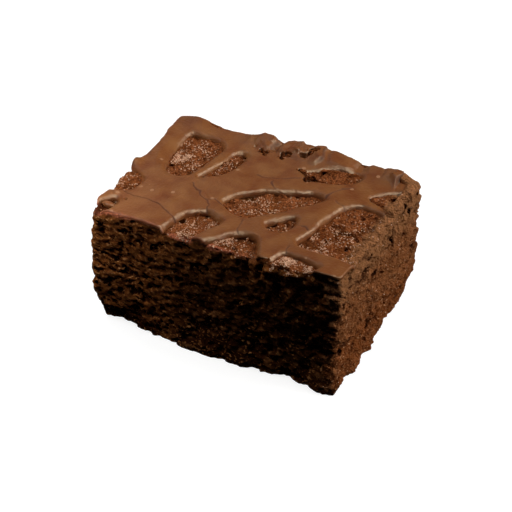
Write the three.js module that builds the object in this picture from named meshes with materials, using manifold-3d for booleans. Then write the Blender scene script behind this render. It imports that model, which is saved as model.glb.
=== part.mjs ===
// A square-cut chocolate brownie: a block of baked crumb with torn, pitted sides, and on its top a web of
// milk-chocolate icing, poured in crossing bands that ran together and left rounded openings between them.
// Millimetres, +Z up. The origin is on the ground under the middle of the part's bounding box.
import * as THREE from "three";
import { mergeVertices } from "three/addons/utils/BufferGeometryUtils.js";
import Module from "manifold-3d";

const wasm = await Module();
wasm.setup();

// Driving sizes.
const LENGTH = 74; // overall, along X
const DEPTH = 52; // overall, along Y
const CRUMB_HEIGHT = 33.4; // ground to the top of the crumb, away from the raised back edge
const ICING_THICKNESS = 2.4; // crumb to the top of a band
const ICING_GAP = 0.3; // clearance kept between the two solids
const ICING_SETBACK = 0.5; // from the block's upper edge in to the icing's own cut edge
const RIM_SHOULDER = 1.2; // how far in from the block's edge the icing reaches its full thickness

// Corners of the block where the knife went, as [x, y], for the ground and for the top.
const GROUND_CORNERS = {
  frontLeft: [-35.2, -24.2],
  frontRight: [34.8, -24.8],
  backRight: [35.2, 23.8],
  backLeft: [-35.6, 24.2],
};
const TOP_CORNERS = {
  frontLeft: [-35.2, -25],
  frontRight: [35.4, -23.6],
  backRight: [36.8, 24.4],
  backLeft: [-36.6, 25],
};

const clamp = THREE.MathUtils.clamp;
const smooth = THREE.MathUtils.smoothstep; // smooth(value, from, to)
const lerp = THREE.MathUtils.lerp;

// ---- The lie of the surfaces ----

// Crossed waves at odd angles: the unevenness of the whole bake. Their sum mostly lies between -2 and 2.
const SWELL_WAVES = 6;
const SWELL_RATE = 0.21; // radians a millimetre, for the longest wave
const SWELL_STEP = 1.47; // each wave is this much shorter than the last
const SWELL_TURN = 2.4; // radians between the waves' directions

function swell(x, y, z) {
  let sum = 0;
  for (let wave = 0; wave < SWELL_WAVES; wave += 1) {
    const rate = SWELL_RATE * SWELL_STEP ** wave;
    const turn = SWELL_TURN * wave;
    const along = x * Math.cos(turn) + y * Math.sin(turn);
    const upright = z + 0.6 * (y * Math.cos(turn) - x * Math.sin(turn));
    sum += (1.5 * Math.sin(rate * along + wave * wave) * Math.cos(rate * upright + wave)) / (1 + 0.35 * wave);
  }
  return sum;
}

// Height of the bare crumb under the icing. The back edge stands up in low heaps, highest right of its middle,
// and the front edge lifts a little near its ends.
const HEAPS = [
  { at: [-30, 26], reach: [4, 5], rise: 1.4 },
  { at: [-8, 26], reach: [5, 5], rise: 2.6 },
  { at: [9.5, 26], reach: [9, 7], rise: 4 },
  { at: [24, 26], reach: [6, 6], rise: 1.8 },
  { at: [31, 26], reach: [3, 4.5], rise: 2 },
  { at: [-23, -26], reach: [9, 6], rise: 0.6 },
  { at: [30, -26], reach: [5, 5], rise: 0.7 },
];

function crownHeight(x, y) {
  let height = CRUMB_HEIGHT;
  for (const heap of HEAPS) {
    const u = (x - heap.at[0]) / heap.reach[0];
    const v = (y - heap.at[1]) / heap.reach[1];
    height += heap.rise * Math.exp(-(u * u + v * v));
  }
  return height;
}

// ---- Openings in the icing ----

// Each is a few points round its edge, joined by a smooth curve. shoulder is how far from there the icing takes
// to reach its full thickness. Where floor is set, a film of icing that thick still covers the crumb.
const OPENINGS = [
  // Wide window, back left.
  {
    edge: [[-31, 19], [-24, 19], [-17.8, 17], [-18.2, 10], [-20, 1], [-23.5, -1.8], [-27, 0], [-31.3, 14]],
    shoulder: 1.8,
  },
  // Slit beside the wide window.
  {
    edge: [[-17, 0.6], [-15.4, 8], [-13.4, 15.6], [-10.8, 15.8], [-10.6, 10], [-13, 3.4]],
    shoulder: 1.3,
  },
  // Gap on the left edge.
  {
    edge: [[-38, -5], [-32, -5.4], [-29.8, -9], [-30.2, -13.2], [-38, -14]],
    shoulder: 1.3,
  },
  // Hollow at the left corner.
  {
    edge: [[-33.2, -19.5], [-31.4, -18], [-29.8, -19], [-30.4, -21.4], [-32.4, -22.6], [-33.6, -21.4]],
    shoulder: 0.9,
    floor: 0.6,
  },
  // Arch at the front, left.
  {
    edge: [[-13, -27], [-13, -20], [-11.4, -15], [-7.6, -12.4], [-2, -15.6], [-4.4, -20], [-7.6, -27]],
    shoulder: 1.3,
  },
  // Arch at the front, middle.
  {
    edge: [[-2, -27], [0.6, -21.4], [4.4, -17], [8.4, -16.8], [11, -20], [11.6, -27]],
    shoulder: 1.3,
  },
  // Long window, middle.
  {
    edge: [[-5.8, -6.4], [-3.6, -2], [1, 2.6], [6.6, 4.8], [13, 7.6], [16.8, 6.2], [9.4, -3.4], [4.6, -8.8], [0, -9.6]],
    shoulder: 1.3,
  },
  // Small window.
  {
    edge: [[8.6, -10.4], [11.4, -6.8], [14.2, -5], [14.8, -8.4], [13, -12], [10, -12.4]],
    shoulder: 1.2,
  },
  // Wide bay on the right.
  {
    edge: [[39, 6], [33, 6.4], [27, 7.4], [23.4, 5], [20.4, -8], [19.2, -13.4], [22.4, -14.8], [39, -14.4]],
    shoulder: 1.4,
  },
  // Bay at the front, right.
  {
    edge: [[16.8, -27], [17.6, -21.4], [19.4, -19.4], [24, -19.8], [28.2, -20.8], [26.6, -23.4], [25.6, -27]],
    shoulder: 1.2,
  },
  // Dimple at the back.
  {
    edge: [[7.4, 15.6], [12, 18.4], [17, 20.6], [20.6, 19.4], [18.6, 15.8], [12.8, 13.6], [9.4, 12.8]],
    shoulder: 1.3,
    floor: 0.5,
  },
  // Notch on the right edge.
  {
    edge: [[39, 16], [33, 15.6], [30, 13.4], [29, 11], [33, 10.4], [39, 10.6]],
    shoulder: 1.2,
    floor: 0.4,
  },
];
const EDGE_STEPS = 40; // straight pieces that stand for an opening's curve

function closedCurve(points) {
  const corners = points.map(([x, y]) => new THREE.Vector3(x, y, 0));
  return new THREE.CatmullRomCurve3(corners, true, "centripetal").getSpacedPoints(EDGE_STEPS).slice(0, -1);
}

// Distance from (x, y) to a closed polygon, below zero inside it.
function signedDistance(x, y, polygon) {
  let nearest = Infinity;
  let inside = false;
  for (let i = 0, j = polygon.length - 1; i < polygon.length; j = i, i += 1) {
    const a = polygon[j];
    const b = polygon[i];
    const ex = b.x - a.x;
    const ey = b.y - a.y;
    const t = clamp(((x - a.x) * ex + (y - a.y) * ey) / (ex * ex + ey * ey), 0, 1);
    nearest = Math.min(nearest, Math.hypot(x - a.x - ex * t, y - a.y - ey * t));
    if (a.y > y !== b.y > y && x < a.x + (ex * (y - a.y)) / ey) inside = !inside;
  }
  return inside ? -nearest : nearest;
}

for (const opening of OPENINGS) opening.polygon = closedCurve(opening.edge);

// ---- The crumb block ----

const CELLS = { x: 30, y: 21, z: 14 }; // faces of the block's grid along each side
const SWELL_DEPTH = 0.5; // how far one unit of swell moves a side, in mm
const CORNER_PULL = 0.3; // rounding of the upright edges
const FOOT_PULL = 0.5; // how far the torn foot of the block stands in
const FOOT_HEIGHT = 2.5;
const WINDOW_SINK = 0.5; // the bare crumb in an opening lies this much lower
const GRAIN_DEPTH = 0.2; // the same for waves a quarter as long, which are the grain of the crumb
const FRONT_BULGE = 1.3; // how far the front face swells out at its foot
const BULGE_BEGINS = [-30, -8]; // along X, where the swelling rises to its full depth
const BULGE_ENDS = [20, 34]; // along X, where it dies away
const ON_FACE = 0.999; // a and b beyond this, or below its negative, are on a side

// Position of a point of the block's skin. a and b run from -1 to 1 across the plan, and c from 0 to 1 upwards.
function skinPoint(a, b, c) {
  const u = (a + 1) / 2;
  const v = (b + 1) / 2;
  const across = (corners, axis) =>
    lerp(
      lerp(corners.frontLeft[axis], corners.frontRight[axis], u),
      lerp(corners.backLeft[axis], corners.backRight[axis], u),
      v,
    );
  const point = new THREE.Vector3(
    lerp(across(GROUND_CORNERS, 0), across(TOP_CORNERS, 0), c),
    lerp(across(GROUND_CORNERS, 1), across(TOP_CORNERS, 1), c),
    c * CRUMB_HEIGHT,
  );
  const onSideX = Math.abs(a) > ON_FACE;
  const onSideY = Math.abs(b) > ON_FACE;
  // The sides stand plumb from the last row of faces up, so that the icing's bed has a plumb edge.
  const level = Math.min(c, 1 - 1 / CELLS.z) * CRUMB_HEIGHT;
  const grain = swell(4 * point.x, 4 * point.y, 4 * level);
  const rough = SWELL_DEPTH * swell(point.x, point.y, level) + GRAIN_DEPTH * grain;
  const foot = FOOT_PULL * (1 - smooth(point.z, 0, FOOT_HEIGHT)) * (0.6 + 0.4 * swell(point.x, point.y, 9));
  const corner = onSideX && onSideY ? CORNER_PULL : 0;
  if (onSideX) point.x += Math.sign(a) * (rough - foot - corner);
  if (onSideY) point.y += Math.sign(b) * (rough - foot - corner);
  if (b < -ON_FACE) {
    const along = smooth(point.x, ...BULGE_BEGINS) * (1 - smooth(point.x, ...BULGE_ENDS));
    point.y -= FRONT_BULGE * (1 - c) * along;
  }
  if (c > ON_FACE) {
    const bare = Math.min(...OPENINGS.map((opening) => signedDistance(point.x, point.y, opening.polygon)));
    const sink = WINDOW_SINK + GRAIN_DEPTH * swell(4 * point.x, 4 * point.y, 0);
    const rounding = onSideX || onSideY ? 0.3 : 0;
    point.z = crownHeight(point.x, point.y) - sink * (1 - smooth(bare, -1.2, 0.2)) - rounding;
  } else {
    point.z *= lerp(1, crownHeight(point.x, point.y) / CRUMB_HEIGHT, c);
  }
  return point;
}

function closedGeometry(geometry) {
  geometry.deleteAttribute("normal");
  geometry.deleteAttribute("uv");
  return mergeVertices(geometry, 1e-4);
}

function solidOf(geometry) {
  return new wasm.Manifold(
    new wasm.Mesh({
      numProp: 3,
      vertProperties: new Float32Array(geometry.attributes.position.array),
      triVerts: new Uint32Array(geometry.index.array),
    }),
  );
}

function geometryOf(solid) {
  const mesh = solid.getMesh();
  const geometry = new THREE.BufferGeometry();
  geometry.setAttribute("position", new THREE.BufferAttribute(new Float32Array(mesh.vertProperties), 3));
  geometry.setIndex(new THREE.BufferAttribute(new Uint32Array(mesh.triVerts), 1));
  return geometry;
}

// What hangs together, without loose scraps and without the skins of voids that never broke the surface.
function largestPiece(solid) {
  return solid.decompose().reduce((largest, piece) => (piece.volume() > largest.volume() ? piece : largest));
}

function blockGeometry() {
  const geometry = closedGeometry(new THREE.BoxGeometry(2, 2, 1, CELLS.x, CELLS.y, CELLS.z));
  const position = geometry.attributes.position;
  for (let i = 0; i < position.count; i += 1) {
    const point = skinPoint(position.getX(i), position.getY(i), position.getZ(i) + 0.5);
    position.setXYZ(i, point.x, point.y, point.z);
  }
  return geometry;
}

// A lumpy ball, stretched to its radii: a crumb where it is added, and a void where it is cut away.
function lump([x, y, z], [rx, ry, rz]) {
  const geometry = closedGeometry(new THREE.IcosahedronGeometry(1, 1));
  const position = geometry.attributes.position;
  for (let i = 0; i < position.count; i += 1) {
    const [u, v, w] = [position.getX(i), position.getY(i), position.getZ(i)];
    const bump = 1 + 0.16 * Math.sin(5 * u + x) * Math.cos(4 * v + z) + 0.1 * Math.sin(6 * w + y);
    position.setXYZ(i, x + u * rx * bump, y + v * ry * bump, z + w * rz * bump);
  }
  return solidOf(geometry);
}

// Where the knife tore the crumb open: [across, up, half width, half height, depth] on each side.
const VOIDS_AT = { front: -25.2, back: 24.6, left: -35.6, right: 35.6 }; // Y or X of the voids' middles
const FRONT_VOIDS = [
  [-16.4, 32, 1.6, 1.3, 1.8],
  [-15.6, 27.4, 2.3, 1.9, 2.4],
  [-17.6, 23.4, 2.2, 1.3, 2],
  [-7.4, 22.8, 1.9, 1.5, 1.8],
  [-29, 16.4, 1.9, 0.9, 1.3],
  [-18, 17.2, 1.6, 1.7, 1.6],
  [-3, 27, 1.2, 2, 1.5],
  [14.2, 31.6, 2, 1.8, 2],
  [19, 27.8, 2.7, 2, 2.2],
  [26, 21, 2.4, 1.2, 1.5],
  [1.6, 9.4, 2.6, 1, 1.5],
];
const RIGHT_VOIDS = [
  [7.6, 28.6, 1.1, 2.6, 2.2],
  [-8.6, 28.6, 1.8, 1.2, 1.8],
  [-1.6, 27.6, 1.6, 0.9, 1.4],
  [16.6, 30.4, 0.9, 1.8, 1.4],
  [-14, 3.6, 3, 1.8, 1.8],
  [-5.6, 3, 2.4, 2, 1.6],
  [14, 5, 2.6, 1.6, 1.5],
];
const LEFT_VOIDS = [
  [-19, 29.6, 2.2, 1, 1.6],
  [-18, 6.6, 2.6, 1.3, 1.8],
  [-4, 26, 2, 1.6, 1.8],
  [3, 14, 2.8, 1.2, 1.6],
  [15, 9, 2.4, 1.2, 1.5],
  [19, 29, 1.6, 1.3, 1.5],
];
const BACK_VOIDS = [
  [-20, 14, 2.6, 1.1, 1.5],
  [-12, 28, 1.8, 1.6, 1.8],
  [3, 8, 2.6, 1.2, 1.5],
  [8, 26, 2.2, 1.6, 1.9],
  [24, 28, 1.8, 1.3, 1.6],
  [29, 11, 2.2, 1.2, 1.5],
];
// Crumbs that cling on: at the right foot, at the back edge, and at the corners.
const CLINGING = [
  { at: [34.4, -14.6, 2.2], radii: [1.7, 1.9, 1.8] },
  { at: [33.6, -21.4, 1.6], radii: [1.9, 1.6, 1.5] },
  { at: [30.6, -23.8, 1.5], radii: [2.4, 1.6, 1.4] },
  { at: [33.6, 6.4, 3.6], radii: [1.6, 2.2, 1.7] },
  { at: [-6.6, 24, 34.2], radii: [2.8, 1.3, 1.9] },
  { at: [3.4, 24.2, 35], radii: [2.6, 1.3, 1.9] },
  { at: [-34.8, -21.4, 23.4], radii: [1.3, 2.2, 2] },
];

function crumbSolid(block) {
  const voids = [
    ...FRONT_VOIDS.map(([x, z, rx, rz, depth]) => lump([x, VOIDS_AT.front, z], [rx, depth, rz])),
    ...RIGHT_VOIDS.map(([y, z, ry, rz, depth]) => lump([VOIDS_AT.right, y, z], [depth, ry, rz])),
    ...LEFT_VOIDS.map(([y, z, ry, rz, depth]) => lump([VOIDS_AT.left, y, z], [depth, ry, rz])),
    ...BACK_VOIDS.map(([x, z, rx, rz, depth]) => lump([x, VOIDS_AT.back, z], [rx, depth, rz])),
  ];
  let solid = block;
  for (const hollow of voids) solid = solid.subtract(hollow);
  for (const crumb of CLINGING) solid = solid.add(lump(crumb.at, crumb.radii));
  return largestPiece(solid);
}

// ---- The icing ----

const ICING_CELLS = { x: 48, y: 33 };
const ICING_FOOT = 2.2; // the slab that the icing is cut from starts this far below the crumb's top
const BLEND = 0.7; // how far apart two edges still soften each other
const TOP_STEPS = 30; // points along each upper edge of the block that the icing's outline follows

// Outline of the block's top, walked anticlockwise.
function topOutline() {
  const points = [];
  for (let i = 0; i < TOP_STEPS; i += 1) points.push(skinPoint(-1 + (2 * i) / TOP_STEPS, -1, 1));
  for (let i = 0; i < TOP_STEPS; i += 1) points.push(skinPoint(1, -1 + (2 * i) / TOP_STEPS, 1));
  for (let i = 0; i < TOP_STEPS; i += 1) points.push(skinPoint(1 - (2 * i) / TOP_STEPS, 1, 1));
  for (let i = 0; i < TOP_STEPS; i += 1) points.push(skinPoint(-1, 1 - (2 * i) / TOP_STEPS, 1));
  return points;
}

const TOP_OUTLINE = topOutline();

// Rise of a rounded shoulder: 0 at the edge and 1 a shoulder's width in. It goes on down past the edge.
function shoulderRise(distance, width) {
  const t = Math.min(distance / width, 1);
  return t < 0 ? t : t * (2 - t);
}

// The lower of two heights, rounded off where they are close.
function softMin(a, b) {
  const h = clamp(0.5 + (0.5 * (b - a)) / BLEND, 0, 1);
  return lerp(b, a, h) - BLEND * h * (1 - h);
}

// Thickness of the icing over the crumb at (x, y). Below zero there is none.
function icingThickness(x, y) {
  const full = ICING_THICKNESS + 0.18 * swell(0.8 * x, 0.8 * y, 4);
  const rim = -signedDistance(x, y, TOP_OUTLINE);
  let thickness = full * shoulderRise(rim, RIM_SHOULDER);
  for (const opening of OPENINGS) {
    const floor = opening.floor ?? 0;
    const rise = shoulderRise(signedDistance(x, y, opening.polygon), opening.shoulder);
    thickness = softMin(thickness, floor + (full - floor) * (floor > 0 ? Math.max(rise, 0) : rise));
  }
  return thickness;
}

// A slab, just inside the plan of the block's top. Its own top lies at the icing's height.
function pouredSlab() {
  const geometry = closedGeometry(new THREE.BoxGeometry(2, 2, 1, ICING_CELLS.x, ICING_CELLS.y, 1));
  const position = geometry.attributes.position;
  for (let i = 0; i < position.count; i += 1) {
    const point = skinPoint(position.getX(i), position.getY(i), 1);
    const x = point.x * (1 - (2 * ICING_SETBACK) / LENGTH);
    const y = point.y * (1 - (2 * ICING_SETBACK) / DEPTH);
    const rise = position.getZ(i) > 0 ? Math.max(icingThickness(x, y), 0.1 - ICING_FOOT) : -ICING_FOOT;
    position.setXYZ(i, x, y, crownHeight(x, y) + rise);
  }
  return solidOf(geometry);
}

function icingSolid(block) {
  let solid = pouredSlab().subtract(block.translate([0, 0, ICING_GAP]));
  for (const crumb of CLINGING) {
    const room = crumb.radii.map((radius) => radius + ICING_GAP);
    solid = solid.subtract(lump(crumb.at, room));
  }
  return largestPiece(solid);
}

// ---- Assembly ----

const block = solidOf(blockGeometry());
const crumbGeometry = geometryOf(crumbSolid(block));
const icingGeometry = geometryOf(icingSolid(block));

// The block is brought to its overall length and depth, and its middle over the origin. The icing goes with it.
crumbGeometry.computeBoundingBox();
const extent = crumbGeometry.boundingBox;
const size = extent.getSize(new THREE.Vector3());
const middle = extent.getCenter(new THREE.Vector3());
const toSize = new THREE.Matrix4()
  .makeScale(LENGTH / size.x, DEPTH / size.y, 1)
  .multiply(new THREE.Matrix4().makeTranslation(-middle.x, -middle.y, -extent.min.z));
crumbGeometry.applyMatrix4(toSize);
icingGeometry.applyMatrix4(toSize);

const bakedCrumb = new THREE.MeshStandardMaterial({ color: 0x53301c, roughness: 0.9, metalness: 0 });
const setChocolate = new THREE.MeshStandardMaterial({ color: 0x7a4d30, roughness: 0.38, metalness: 0 });

const crumb = new THREE.Mesh(crumbGeometry, bakedCrumb);
crumb.name = "crumb";
const icing = new THREE.Mesh(icingGeometry, setChocolate);
icing.name = "icing";

const brownie = new THREE.Group();
brownie.add(crumb, icing);

export default brownie;
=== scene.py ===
import itertools
import math

import bpy
import numpy as np
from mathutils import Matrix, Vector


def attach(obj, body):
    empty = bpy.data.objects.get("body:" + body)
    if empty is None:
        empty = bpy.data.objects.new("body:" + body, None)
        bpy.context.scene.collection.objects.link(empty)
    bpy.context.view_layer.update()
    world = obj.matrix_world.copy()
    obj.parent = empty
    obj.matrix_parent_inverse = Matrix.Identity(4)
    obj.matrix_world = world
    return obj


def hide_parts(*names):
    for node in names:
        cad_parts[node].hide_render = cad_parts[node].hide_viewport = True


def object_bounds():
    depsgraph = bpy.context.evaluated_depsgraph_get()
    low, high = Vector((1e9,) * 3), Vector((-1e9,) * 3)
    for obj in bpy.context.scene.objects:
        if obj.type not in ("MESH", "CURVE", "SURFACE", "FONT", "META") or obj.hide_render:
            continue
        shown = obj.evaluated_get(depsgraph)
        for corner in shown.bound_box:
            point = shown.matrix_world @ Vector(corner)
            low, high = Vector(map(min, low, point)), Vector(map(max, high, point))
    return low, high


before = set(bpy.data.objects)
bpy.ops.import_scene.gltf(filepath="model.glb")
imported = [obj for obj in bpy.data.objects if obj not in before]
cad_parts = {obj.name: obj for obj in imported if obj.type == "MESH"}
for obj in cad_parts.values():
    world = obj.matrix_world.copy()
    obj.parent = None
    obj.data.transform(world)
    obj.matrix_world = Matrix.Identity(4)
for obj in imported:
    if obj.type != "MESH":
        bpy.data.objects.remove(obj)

import openvdb
from mathutils import Vector

cad_low, cad_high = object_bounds()

# ----------------------------------------------------------------------------------------------------------
# The crumb: one square of a baked chocolate tray cake, cut with a knife that dragged and tore its sides.
# It is dense sponge full of flattened pores, with a rough sugary top that shows between the icing's bands.
# It is worked out as a field on a box of cells, below zero inside the cake, and the field is then skinned.
# ----------------------------------------------------------------------------------------------------------
MM = 0.001  # the places below are in millimetres along the block's own axes
AXES_FROM_MIDDLE = (0.2, 0.4, 0)  # the block's axes cross here, off the middle of its box
COARSER = 1
CELL = 0.25 * COARSER
MARGIN = 1  # the cells reach this far past the box
chance = np.random.default_rng(20)

# How far out the cut sides stand, as (place, distance) pairs. The places run along a side, and up a corner.
# RIGHT_FOOT is how much farther out the foot of the right side stands than its corners.
LEFT_TOP = (
    (-25, 34.4), (-20, 35.4), (-15, 34.9), (-12, 35.7), (-9, 35.9), (-5, 35.9), (-1, 36), (3, 34.9),
    (12, 35.3), (25, 36.3),
)
LEFT_CORNER = (
    (0, 33.7), (3, 34.1), (5, 34.6), (9, 35.4), (17, 35.9), (23, 35.8), (27, 35.1), (31, 34.2),
    (36, 34.6),
)
NEAR_CORNER = ((0, 33.6), (8, 34.2), (18, 34.8), (24, 35.7), (30, 35.8), (36, 35.2))
FAR_CORNER = ((0, 33.6), (5, 34.2), (9, 35.8), (15.5, 36.8), (22, 36), (31, 36.2), (37, 36.6))
RIGHT_FOOT = (
    (-24, 1.8), (-20, 1.5), (-18, 0.8), (-14, 2.8), (-11, 2), (-7, 1), (-4, 1.9), (1, 0.9), (4, 1),
    (9, 0), (13, 0.6), (25, 0),
)
FRONT_FOOT = (
    (-34, 24), (-28, 23.2), (-25, 24.2), (-18, 25.2), (-13, 24.7), (-9, 26), (1, 26), (4, 25.6),
    (10.5, 26.2), (13, 25.2), (18, 25), (22, 23.6), (28, 24.1), (31, 26), (34, 25.4),
)
FRONT_TOP = ((-35, 25), (0, 24), (35, 22.9))
BACK_TOP = ((-36, 24.6), (-12, 24.4), (-4, 25), (9, 25.4), (20, 24.8), (36, 23.9))
HALF_WIDTH = 23  # the corners are this far before and behind the middle
LEFT_CORNER_FADE = 0.7  # the swell of the left side is weaker by this share at the back
FOOT_RISE = (0, 9)  # the foot's plan gives way to the upper plan between these heights
LIP_RISE = (3.6, 5.4)  # and between these at the left of the front, under a torn lip
LIP_REACH = (17, 23)  # the lip starts between these distances to the left of the middle
CORNER_ROUNDING = 1.2
TOP_ROUNDING = 0.7
GROWTH = 0.15  # the sides are grown by what the pores and torn places then take off on average

BARE_TOP = 33.9  # height of the bare top in the windows, away from its heaps
ICING_TOP = 1.9  # the icing's top stands this much above the bare top
BAND_RISE = 0.5  # the cake's top rises this much under the icing
BAND_SLOPE = (0.2, 1.6)  # and does so over this way from a window
EDGE_RISE = 1.5  # the rise at the cut sides, where the icing thins to nothing
EDGE_SLOPE = (0, 0.9)
EDGE_STRIP = (-1.6, -0.6)  # the icing thins over this strip inside the cut sides
RIM_PLACE = ((30, 32), (-13, -4))  # a strip at the right sets in over these places along x and y
RIM_WIDTH = 1.8
PROUD_RIM = 0.9  # more rise on the strip, where the knife dragged crumb up over the icing
BARE_RIM = 0.5  # the strip's rise in a window
BARE_RISE = 0.5  # the windows' floors stand this much above the bare top
# Heaps that lift the whole top: (x, y, reach along x, reach along y, rise).
HEAPS = (
    (-30, 26, 4, 5, 1.3), (-8, 26, 5, 5, 1.9), (9.5, 26, 9, 7, 3.1), (26, 26, 7, 6, 2),
    (30.5, 26, 3, 4, 1), (-23, -26, 9, 6, 0.6), (30, -26, 5, 5, 0.6), (-31, 25, 4, 8, 0.4),
)
MOST_RISE = 2.1
RISE_SHARPNESS = 3  # how sharply the heaps level off below that rise
# Heaps and slumps of the bare top alone, most at the cut edge.
BARE_HEAPS = (
    (-8, -26, 5, 2, -0.7), (4, -26, 6, 2, -0.7), (22, -22, 4, 2.5, 0.1), (35, -10, 2.5, 6, 0.1),
    (-36, -9, 6, 5, 0.8), (-32, -21, 2, 3, -0.6), (-35, -22.5, 1, 2.5, 1),
)

# A pit in the icing at the near left corner, with a loose lump of icing in it.
CORNER_PIT = (
    (-34.2, -25), (-34.5, -20.6), (-33.2, -18.3), (-31.4, -17.4), (-30.2, -18.8), (-30.1, -22.3),
    (-32, -25.1),
)
LUMP = (-32, -20.4)

# Windows between the bands of icing, where the top of the cake shows.
WINDOWS = (
    CORNER_PIT,
    ((-39, -4.2), (-33.4, -4.6), (-30, -7.4), (-29.8, -11.6), (-32.4, -14), (-39, -14.4)),
    (
        (-29.5, 17.5), (-24, 18.6), (-18.6, 16.6), (-18.2, 11), (-20, 1.5), (-23.5, -1.6), (-27, 0.4),
        (-29.2, 8),
    ),
    ((-17, 0.6), (-16.2, 4), (-14.8, 10), (-13.2, 15.4), (-10.8, 15.6), (-10.6, 10.5), (-12.8, 4)),
    (
        (-13.4, -27), (-13.2, -20), (-11.6, -15.4), (-7.6, -12.4), (-3.8, -13.4), (-2, -15.4),
        (-4.2, -20), (-7.4, -27),
    ),
    ((-2.6, -27), (0.4, -21.6), (4.2, -17), (8.2, -16.6), (10.8, -19.6), (11.8, -27)),
    (
        (-6, -6.6), (-4, -2), (0.4, 2.2), (6.6, 5), (13, 7.8), (17, 6.4), (14.4, 2), (9.6, -3.2),
        (4.4, -8.8), (0, -10),
    ),
    ((8.4, -10.4), (11.2, -6.6), (14.2, -4.8), (15, -8.2), (13, -12.2), (10, -12.2)),
    (
        (40, 5.4), (33, 6.6), (27, 7.6), (23.4, 5), (21.6, 0), (20.2, -8), (19, -13.4), (22, -14.8),
        (30, -14.6), (40, -14.4),
    ),
    ((16.8, -27), (17.4, -21.4), (19.2, -19.2), (24, -19.6), (28.4, -20.6), (27, -23.4), (25.6, -27)),
)
# Shallow windows, floored with crumb just below the icing.
SHALLOW_WINDOWS = (
    (
        (7.3, 14.8), (10.1, 16.8), (15, 18.9), (19.2, 19.9), (21.5, 19.2), (19.7, 16.3), (15.9, 13.9),
        (11.8, 13.3),
    ),
    ((27.6, 12.2), (30, 14.8), (33, 17.2), (36, 18), (40, 16), (40, 9.6), (35, 8.8), (31, 10.6)),
)
SHALLOW_FLOOR = 1.5  # height of their floor above the bare top
SHALLOW_SLOPE = (-0.8, 0.2)

# Hollows torn open in the sides: (place along the side, height, half length, half height, depth).
FRONT_HOLLOWS = (
    (-16.5, 28, 1.5, 1.2, 1.6), (-17, 24, 2.5, 0.7, 1.2), (-17, 33.2, 1, 0.6, 1),
    (-7.5, 23, 1.6, 0.8, 1.2), (-5, 21, 1, 0.6, 1), (14, 32, 1, 0.8, 1), (18.5, 28.5, 1.6, 1.2, 1.4),
    (-26.5, 26, 1, 0.6, 1),
)
RIGHT_HOLLOWS = (
    (7, 29.6, 1.4, 2.9, 2.4), (-8.5, 29, 2, 1.2, 1.8), (-1.5, 28.5, 1.8, 1, 1.5), (-3, 24, 1.4, 1.2, 1.3),
    (-6.5, 31.6, 1.1, 0.9, 1.2), (13.5, 33.6, 2.6, 0.7, 1.6), (17, 31, 1.4, 0.9, 1.2),
    (-19, 28, 1.3, 1.1, 1.2), (-14, 17, 1.3, 0.8, 1), (3, 19, 1.2, 0.7, 1), (-20, 10, 1.3, 0.9, 1.1),
    (12, 22, 1.2, 0.7, 1), (-4, 8, 1.4, 0.8, 1.1),
)
# A flake lifting off the bare top: the crack along its near edge, and the ridge behind it.
FLAKE_CRACK = ((25.8, -5.4), (26.2, -3.8), (27.7, -3.7), (29.9, -3.9), (31.5, -4.8))
FLAKE_RIDGE = ((27, -2.6), (30.9, -2.7), (32, -2.5), (32.9, -1))


def along(pairs, places):
    """Value at each place on the line through a few (place, value) pairs."""
    knots = np.array(pairs, float)
    return np.interp(places, knots[:, 0], knots[:, 1]).astype(np.float32)


def ease(value, start, end):
    """0 before start, 1 after end, and a smooth step between them."""
    t = np.clip((value - start) / (end - start), 0, 1)
    return t * t * (3 - 2 * t)


def meet(a, b, radius):
    """The field of what two fields share, with the edge between them rounded."""
    rounding = np.hypot(np.maximum(a + radius, 0), np.maximum(b + radius, 0))
    return rounding + np.minimum(np.maximum(a, b), -radius)


def smooth_loop(corners, steps=6):
    """Points along the closed smooth curve through a few corners."""
    here = np.array(corners, float)
    last, following, later = (np.roll(here, shift, axis=0) for shift in (1, -1, -2))
    points = []
    for t in np.arange(steps) / steps:
        slope = (following - last) * t
        bend = (2 * last - 5 * here + 4 * following - later) * t**2
        turn = (3 * here - last - 3 * following + later) * t**3
        points.append(here + (slope + bend + turn) / 2)
    return np.stack(points, axis=1).reshape(-1, 2)


def line_distance(points, x, y, closed=False):
    """Distance in plan to the line through some points, below zero inside a closed one."""
    nearest = np.full(np.broadcast(x, y).shape, 1e3)
    inside = np.zeros(nearest.shape, bool)
    points = np.array(points, float)
    starts = points if closed else points[:-1]
    ends = np.roll(points, -1, axis=0) if closed else points[1:]
    for (ax, ay), (bx, by) in zip(starts, ends):
        ex, ey = bx - ax, by - ay
        t = np.clip(((x - ax) * ex + (y - ay) * ey) / (ex * ex + ey * ey + 1e-9), 0, 1)
        nearest = np.minimum(nearest, np.hypot(x - ax - ex * t, y - ay - ey * t))
        if closed and ey != 0:
            inside ^= ((ay > y) != (by > y)) & (x < ax + ex * (y - ay) / ey)
    return np.where(inside, -nearest, nearest).astype(np.float32)


def loops_distance(loops, x, y):
    """Distance in plan to the nearest of some smooth loops, below zero inside one."""
    nearest = np.full(np.broadcast(x, y).shape, 1e3, np.float32)
    for corners in loops:
        nearest = np.minimum(nearest, line_distance(smooth_loop(corners), x, y, closed=True))
    return nearest


def heaped(heaps, x, y):
    """Height of some heaps at a place."""
    height = 0
    for at_x, at_y, reach_x, reach_y, rise in heaps:
        height = height + rise * np.exp(-(((x - at_x) / reach_x) ** 2) - ((y - at_y) / reach_y) ** 2)
    return height


def lifted_top(x, y):
    """Height of the bare top with its heaps, eased off below the greatest height."""
    rise = -RISE_SHARPNESS * heaped(HEAPS, x, y)
    return BARE_TOP - np.logaddexp(rise, -RISE_SHARPNESS * MOST_RISE) / RISE_SHARPNESS


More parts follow.
